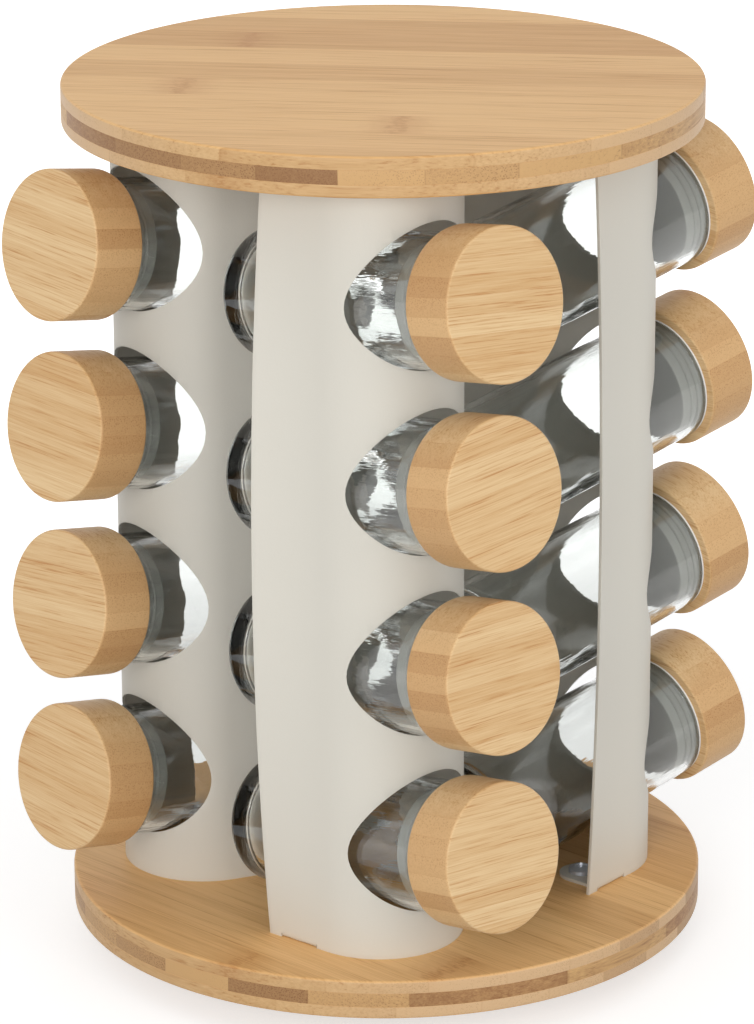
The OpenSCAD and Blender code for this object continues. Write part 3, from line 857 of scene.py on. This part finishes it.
def tower(side, bow):
    mesh = bpy.data.meshes.new(f"bent_tower_{side}")
    spots, faces = [], []
    for (flat, triangles, _), depth in ((outer_sheet, 0.0), (inner_sheet, SHEET_T)):
        base = len(spots)
        spots += [bent(s, z, depth, bow) for s, z in flat]
        faces += [tuple(base + i for i in triangle) for triangle in triangles]
    base = len(outer_sheet[0])
    for outer_rim, inner_rim in zip(outer_sheet[2], inner_sheet[2]):
        pairs = list(zip(outer_rim, inner_rim))
        for (a, b), (c, d) in zip(pairs, pairs[1:] + pairs[:1]):
            faces.append((a, c, base + d, base + b))
    mesh.from_pydata(spots, [], faces)
    mesh.transform(Matrix.Rotation(math.radians(90 * SIDES.index(side)), 4, "Z"))
    mesh.materials.append(powder_coat)
    mesh.shade_smooth()
    piece = new_piece(mesh.name, mesh)
    solid = bmesh.new()
    solid.from_mesh(mesh)
    bmesh.ops.recalc_face_normals(solid, faces=solid.faces)
    loose = sum(1 for edge in solid.edges if not edge.is_manifold)
    for edge in solid.edges:
        edge.smooth = edge.calc_face_angle(0) < math.radians(45)
    solid.to_mesh(mesh)
    solid.free()
    soften = piece.modifiers.new("soft_edges", "BEVEL")
    soften.width = 0.22 * MM
    soften.segments = 2
    soften.limit_method = "ANGLE"
    soften.angle_limit = math.radians(45)
    bake(piece, math.radians(60))
    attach(piece, "carousel")
    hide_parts(f"tower_{side}")
    print(piece.name, len(piece.data.polygons), "faces,", loose, "open edges before the bevel")


for side, bow in zip(SIDES, BOWS):
    tower(side, bow)

# %% [markdown]
# ## Screws
#
# Twenty pan head screws hold the tabs and the bearing. They are all alike, so one screw is
# turned, its cross is cut into it, and a second tree sets a copy on every point.

# %% One screw
HEAD_R, HEAD_H, SHANK_R, SHANK_L = 3.8, 2.4, 1.9, 9.6
dome_r = (HEAD_R**2 + (HEAD_H / 2) ** 2) / HEAD_H
dome_centre = HEAD_H - dome_r
dome = []
for i in range(9):
    r = HEAD_R * (1 - i / 8)
    dome.append((r, dome_centre + math.sqrt(dome_r**2 - r * r)))
screw_points = [(0, -SHANK_L), (SHANK_R * 0.5, -SHANK_L + 0.95), (SHANK_R, -SHANK_L + 1.9)]
screw_points += [(SHANK_R, -0.4), (SHANK_R, 0.0), (HEAD_R - 0.15, 0.0), (HEAD_R, 0.15), (HEAD_R, 0.9)] + dome
one_screw = new_piece("one_screw")
dress(one_screw, LATHE, Profile=profile_line("screw_line", screw_points), Segments=32, Material=zinc)
bake(one_screw, math.radians(40))
cross = new_piece("cross_cutter")
cutter = bmesh.new()
for turn in (0, math.pi / 2):
    block = bmesh.ops.create_cube(cutter, size=1.0)["verts"]
    for corner_point in block:
        low = corner_point.co.z < 0
        reach, wide = (2.6, 0.55) if low else (5.0, 1.1)
        corner_point.co = Vector(
            (corner_point.co.x * reach * MM, corner_point.co.y * wide * MM, (0.8 if low else 3.4) * MM)
        )
    bmesh.ops.rotate(cutter, verts=block, cent=(0, 0, 0), matrix=Matrix.Rotation(turn, 3, "Z"))
cutter.to_mesh(cross.data)
cutter.free()
cut = one_screw.modifiers.new("cross", "BOOLEAN")
cut.object = cross
cut.solver = "EXACT"
cut.use_self = True
bake(one_screw, math.radians(40))
bpy.data.objects.remove(cross)
print("one screw has", len(one_screw.data.polygons), "faces")

# %% [markdown]
# The second tree reads a cloud of points. Each point carries the turn of its screw, so the
# screws under the top board hang head down and every cross stands at its own angle.


# %% Screws on their points
def copies_tree():
    tree = bpy.data.node_groups.new("copies_on_points", "GeometryNodeTree")
    for label, kind in (
        ("Geometry", "NodeSocketGeometry"),
        ("Pattern", "NodeSocketObject"),
        ("Material", "NodeSocketMaterial"),
    ):
        tree.interface.new_socket(label, in_out="INPUT", socket_type=kind)
    tree.interface.new_socket("Geometry", in_out="OUTPUT", socket_type="NodeSocketGeometry")
    sheet = Sheet(tree)
    given = sheet.node("NodeGroupInput").outputs
    pattern = sheet.node("GeometryNodeObjectInfo", {"Object": given["Pattern"]}).outputs["Geometry"]
    stored = sheet.node("GeometryNodeInputNamedAttribute", {"Name": "turn"}, data_type="FLOAT_VECTOR")
    turn = sheet.node("FunctionNodeEulerToRotation", {0: stored.outputs[0]}).outputs[0]
    set_out = sheet.node(
        "GeometryNodeInstanceOnPoints", {"Points": given["Geometry"], "Instance": pattern, "Rotation": turn}
    )
    real = sheet.node("GeometryNodeRealizeInstances", {"Geometry": set_out.outputs[0]})
    painted = sheet.node(
        "GeometryNodeSetMaterial", {"Geometry": real.outputs[0], "Material": given["Material"]}
    )
    sheet.node("NodeGroupOutput", {0: painted.outputs[0]})
    return tree


COPIES = copies_tree()


def points_piece(name, places):
    """A piece of loose points, from (place in mm, turn in radians) pairs."""
    mesh = bpy.data.meshes.new(name)
    mesh.from_pydata([Vector(place) * MM for place, _ in places], [], [])
    turns = mesh.attributes.new("turn", "FLOAT_VECTOR", "POINT")
    turns.data.foreach_set("vector", [v for _, turn in places for v in turn])
    return new_piece(name, mesh)


RING_HOLE_R = 54 - 1.2 - 5.5 - 0.6
RING_GRIP = 8 - 0.8 - 2.6
screw_places = []
for quarter in range(4):
    spin = Matrix.Rotation(math.radians(90 * quarter), 3, "Z")
    for tab in TAB_PLACES:
        spot, out = plan(tab)
        spot = spot - out * TAB_REACH
        low = spin @ Vector((spot.x, spot.y, TOWER_Z + SHEET_T))
        high = spin @ Vector((spot.x, spot.y, TOWER_Z + TOWER_H - SHEET_T))
        angle = 0.7 * len(screw_places) + 0.4
        screw_places += [(low, (0, 0, angle)), (high, (math.pi, 0, angle * 1.3))]
    ring = spin @ Vector((RING_HOLE_R, 0, BASE_Z - RING_GRIP))
    screw_places.append((ring, (math.pi, 0, 0.5 + quarter)))
screws = points_piece("pan_head_screws", screw_places)
dress(screws, COPIES, Pattern=one_screw, Material=zinc)
bake(screws, math.radians(40))
bpy.data.objects.remove(one_screw)
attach(screws, "carousel")
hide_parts("wood_screws")
print(len(screw_places), "screws,", len(screws.data.polygons), "faces")

# %% [markdown]
# ## Jars
#
# A jar is a straight glass tube with a thick heel and a rounded rim. Its lid is a thick bamboo
# disc with a plug, and a white silicone seal sits round the plug with two beads that press on
# the glass. All three are turned on the lathe along the jar's own axis and then laid in place.

# %% Profiles of glass, lid and seal
GLASS_R, GLASS_L, WALL, HEEL, HEEL_R, BOWL_R = 19.75, 83.0, 2.0, 5.0, 2.0, 4.0
MOUTH_R = GLASS_R - WALL
PUNT_R, PUNT_H = GLASS_R - 2 * HEEL_R, 0.8
punt_dome = (PUNT_R**2 + PUNT_H**2) / (2 * PUNT_H)
punt = []
for i in range(9):
    r = PUNT_R * i / 8
    punt.append((r, PUNT_H - punt_dome + math.sqrt(punt_dome**2 - r * r)))
glass_points = punt + [(PUNT_R + 0.5, 0.0), (GLASS_R - HEEL_R - 0.3, 0.0)]
glass_points += corner((GLASS_R - HEEL_R, HEEL_R), HEEL_R, -90, 0, 8)
glass_points += spaced((GLASS_R, HEEL_R), (GLASS_R, GLASS_L - WALL / 2), 20)
glass_points += corner((GLASS_R - WALL / 2, GLASS_L - WALL / 2), WALL / 2, 0, 180, 10)
glass_points += spaced((MOUTH_R, GLASS_L - WALL / 2), (MOUTH_R, HEEL + BOWL_R), 20)
glass_points += corner((MOUTH_R - BOWL_R, HEEL + BOWL_R), BOWL_R, 0, -90, 8)
glass_points += [(MOUTH_R - BOWL_R - 0.5, HEEL), ((MOUTH_R - BOWL_R) * 0.5, HEEL + 0.15), (0, HEEL + 0.25)]
glass_line = profile_line("glass_line", glass_points)

LID_R, LID_T, LID_EASE = 22.25, 17.3, 0.7
SEAL_GAP, FLANGE, PLUG_L, LIP = 0.06, 0.7, 9.0, 2.0
LID_BASE = GLASS_L + SEAL_GAP + FLANGE
BEAD_R = MOUTH_R - SEAL_GAP
PLUG_R = BEAD_R - 1.2
SEAL_L = PLUG_L - LIP
lid_points = [(0, LID_BASE - PLUG_L), (PLUG_R * 0.6, LID_BASE - PLUG_L), (PLUG_R + 0.1, LID_BASE - PLUG_L)]
lid_points += corner((PLUG_R + 0.2, LID_BASE - PLUG_L + 0.4), 0.4, -90, 0, 3)
lid_points += [(PLUG_R + 0.6, LID_BASE - SEAL_L), (PLUG_R, LID_BASE - SEAL_L), (PLUG_R, LID_BASE)]
lid_points += [(LID_R - LID_EASE - 0.4, LID_BASE)]
lid_points += corner((LID_R - LID_EASE, LID_BASE + LID_EASE), LID_EASE, -90, 0, 6)
lid_points += spaced((LID_R, LID_BASE + LID_EASE), (LID_R, LID_BASE + LID_T - LID_EASE), 6)
lid_points += corner((LID_R - LID_EASE, LID_BASE + LID_T - LID_EASE), LID_EASE, 0, 90, 6)
lid_points += [(LID_R - LID_EASE - 0.4, LID_BASE + LID_T), (LID_R * 0.5, LID_BASE + LID_T), (0, LID_BASE + LID_T)]
lid_line = profile_line("lid_line", lid_points)

FLANGE_R = GLASS_R - 0.2
low_bead, high_bead = LID_BASE - SEAL_L + 1.8, GLASS_L - 2.0
seal_points = [(PLUG_R, GLASS_L + SEAL_GAP + FLANGE), (FLANGE_R - 0.3, GLASS_L + SEAL_GAP + FLANGE)]
seal_points += corner((FLANGE_R - 0.35, GLASS_L + SEAL_GAP + 0.35), 0.35, 90, -90, 6)
seal_points += [(PLUG_R + 0.7, GLASS_L + SEAL_GAP)]
for bead in (high_bead, low_bead):
    seal_points += [(PLUG_R + 0.6, bead + 0.6)] + corner((PLUG_R + 0.6, bead), 0.58, 70, -70, 6)
    seal_points += [(PLUG_R + 0.6, bead - 0.6)]
seal_points += [(PLUG_R + 0.6, LID_BASE - SEAL_L), (PLUG_R, LID_BASE - SEAL_L)]
seal_points += [seal_points[0]]
seal_line = profile_line("seal_line", seal_points)
print("profile points: glass", len(glass_points), "lid", len(lid_points), "seal", len(seal_points))

# %% Places of the jars
BOTTOM_Y, REST_DROP, NOSE_FRONT = 4.424, 1.45, 65.5


def jar_place(side, row):
    """Carries a jar from its own axis, bottom at 0 and lid up, to its place in a tower."""
    height = TOWER_Z + FIRST_OPENING + (4 - row) * ROW_PITCH
    steps = (
        Matrix.Rotation(math.radians(90 * SIDES.index(side)), 4, "Z"),
        Matrix.Translation(Vector((JAR_X, -NOSE_FRONT, height)) * MM),
        Matrix.Rotation(math.pi / 2 - TILT, 4, "X"),
        Matrix.Translation(Vector((0, 0, -(NOSE_FRONT + BOTTOM_Y) / math.cos(TILT))) * MM),
        Matrix.Translation(Vector((0, -REST_DROP, -REST_DROP * math.tan(TILT))) * MM),
    )
    place = Matrix.Identity(4)
    for step in steps:
        place = place @ step
    return place


# How far each lid's fibres are turned from level, in degrees, top row first
LID_TURNS = {
    "front": (-6, 4.5, -1, -4),
    "right": (5, -4, 7, 2),
    "back": (-3, 6, 2, -5),
    "left": (-2.4, -0.3, 6, -1.9),
}


def paint_shade_inside(piece, material, is_inside):
    """Gives the faces that lie inside the jar a second finish: the grey of painted shade under the lid."""
    piece.data.materials.append(material)
    last = len(piece.data.materials) - 1
    for face in piece.data.polygons:
        if is_inside(face.center / MM):
            face.material_index = last


for side in SIDES:
    for row in ROWS:
        place = jar_place(side, row)
        luck = SIDES.index(side) * 4 + row
        glass = new_piece(f"jar_glass_{side}_{row}")
        dress(
            glass,
            LATHE,
            Profile=glass_line,
            Segments=96,
            Wave_Height=0.0,
            Wave_Seed=float(luck),
            Material=clear_glass,
        )
        lid = new_piece(f"jar_lid_{side}_{row}")
        dress(
            lid,
            LATHE,
            Profile=lid_line,
            Segments=96,
            Grain_Turn=math.radians(LID_TURNS[side][row - 1]),
            Grain_Place=(luck * 83.7, luck * 29.3, luck * 13.1),
            Material=lid_bamboo,
        )
        seal = new_piece(f"jar_seal_{side}_{row}")
        dress(seal, LATHE, Profile=seal_line, Segments=72, Material=silicone)
        for piece, node, body, slot in (
            (glass, "glass", "jar", "clear_glass"),
            (lid, "lid", "cap", "bamboo_lid"),
            (seal, "seal", "cap", "seal_silicone"),
        ):
            bake(piece, math.radians(50))
            # The plug and seal faces inside the jar are painted grey as shade under the lid
            if piece is lid:
                paint_shade_inside(lid, painted_shade_inside_jar, lambda middle: middle.z < LID_BASE - 0.01)
            if piece is seal:
                paint_shade_inside(seal, painted_shade_inside_jar, lambda middle: middle.z < GLASS_L + SEAL_GAP + 0.1)
            piece.data.transform(place)
            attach(piece, f"{body}_{side}_{row}")
            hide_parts(f"{node}_{side}_{row}")
    print(side, "jars done")

# %% [markdown]
# ## Bearing
#
# The turntable bearing hides under the base board. Its rings, balls, cage and pads keep their
# exact shapes from the frame and only get their finishes.

# %% Bearing finishes
for node, material in (
    ("bearing_top_ring", aluminium),
    ("bearing_stand_ring", aluminium),
    ("bearing_balls", steel_ball),
    ("ball_cage", nylon),
    ("rubber_feet", rubber),
):
    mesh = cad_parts[node].data
    mesh.materials.clear()
    mesh.materials.append(material)
    print(node, "is now", material.name)
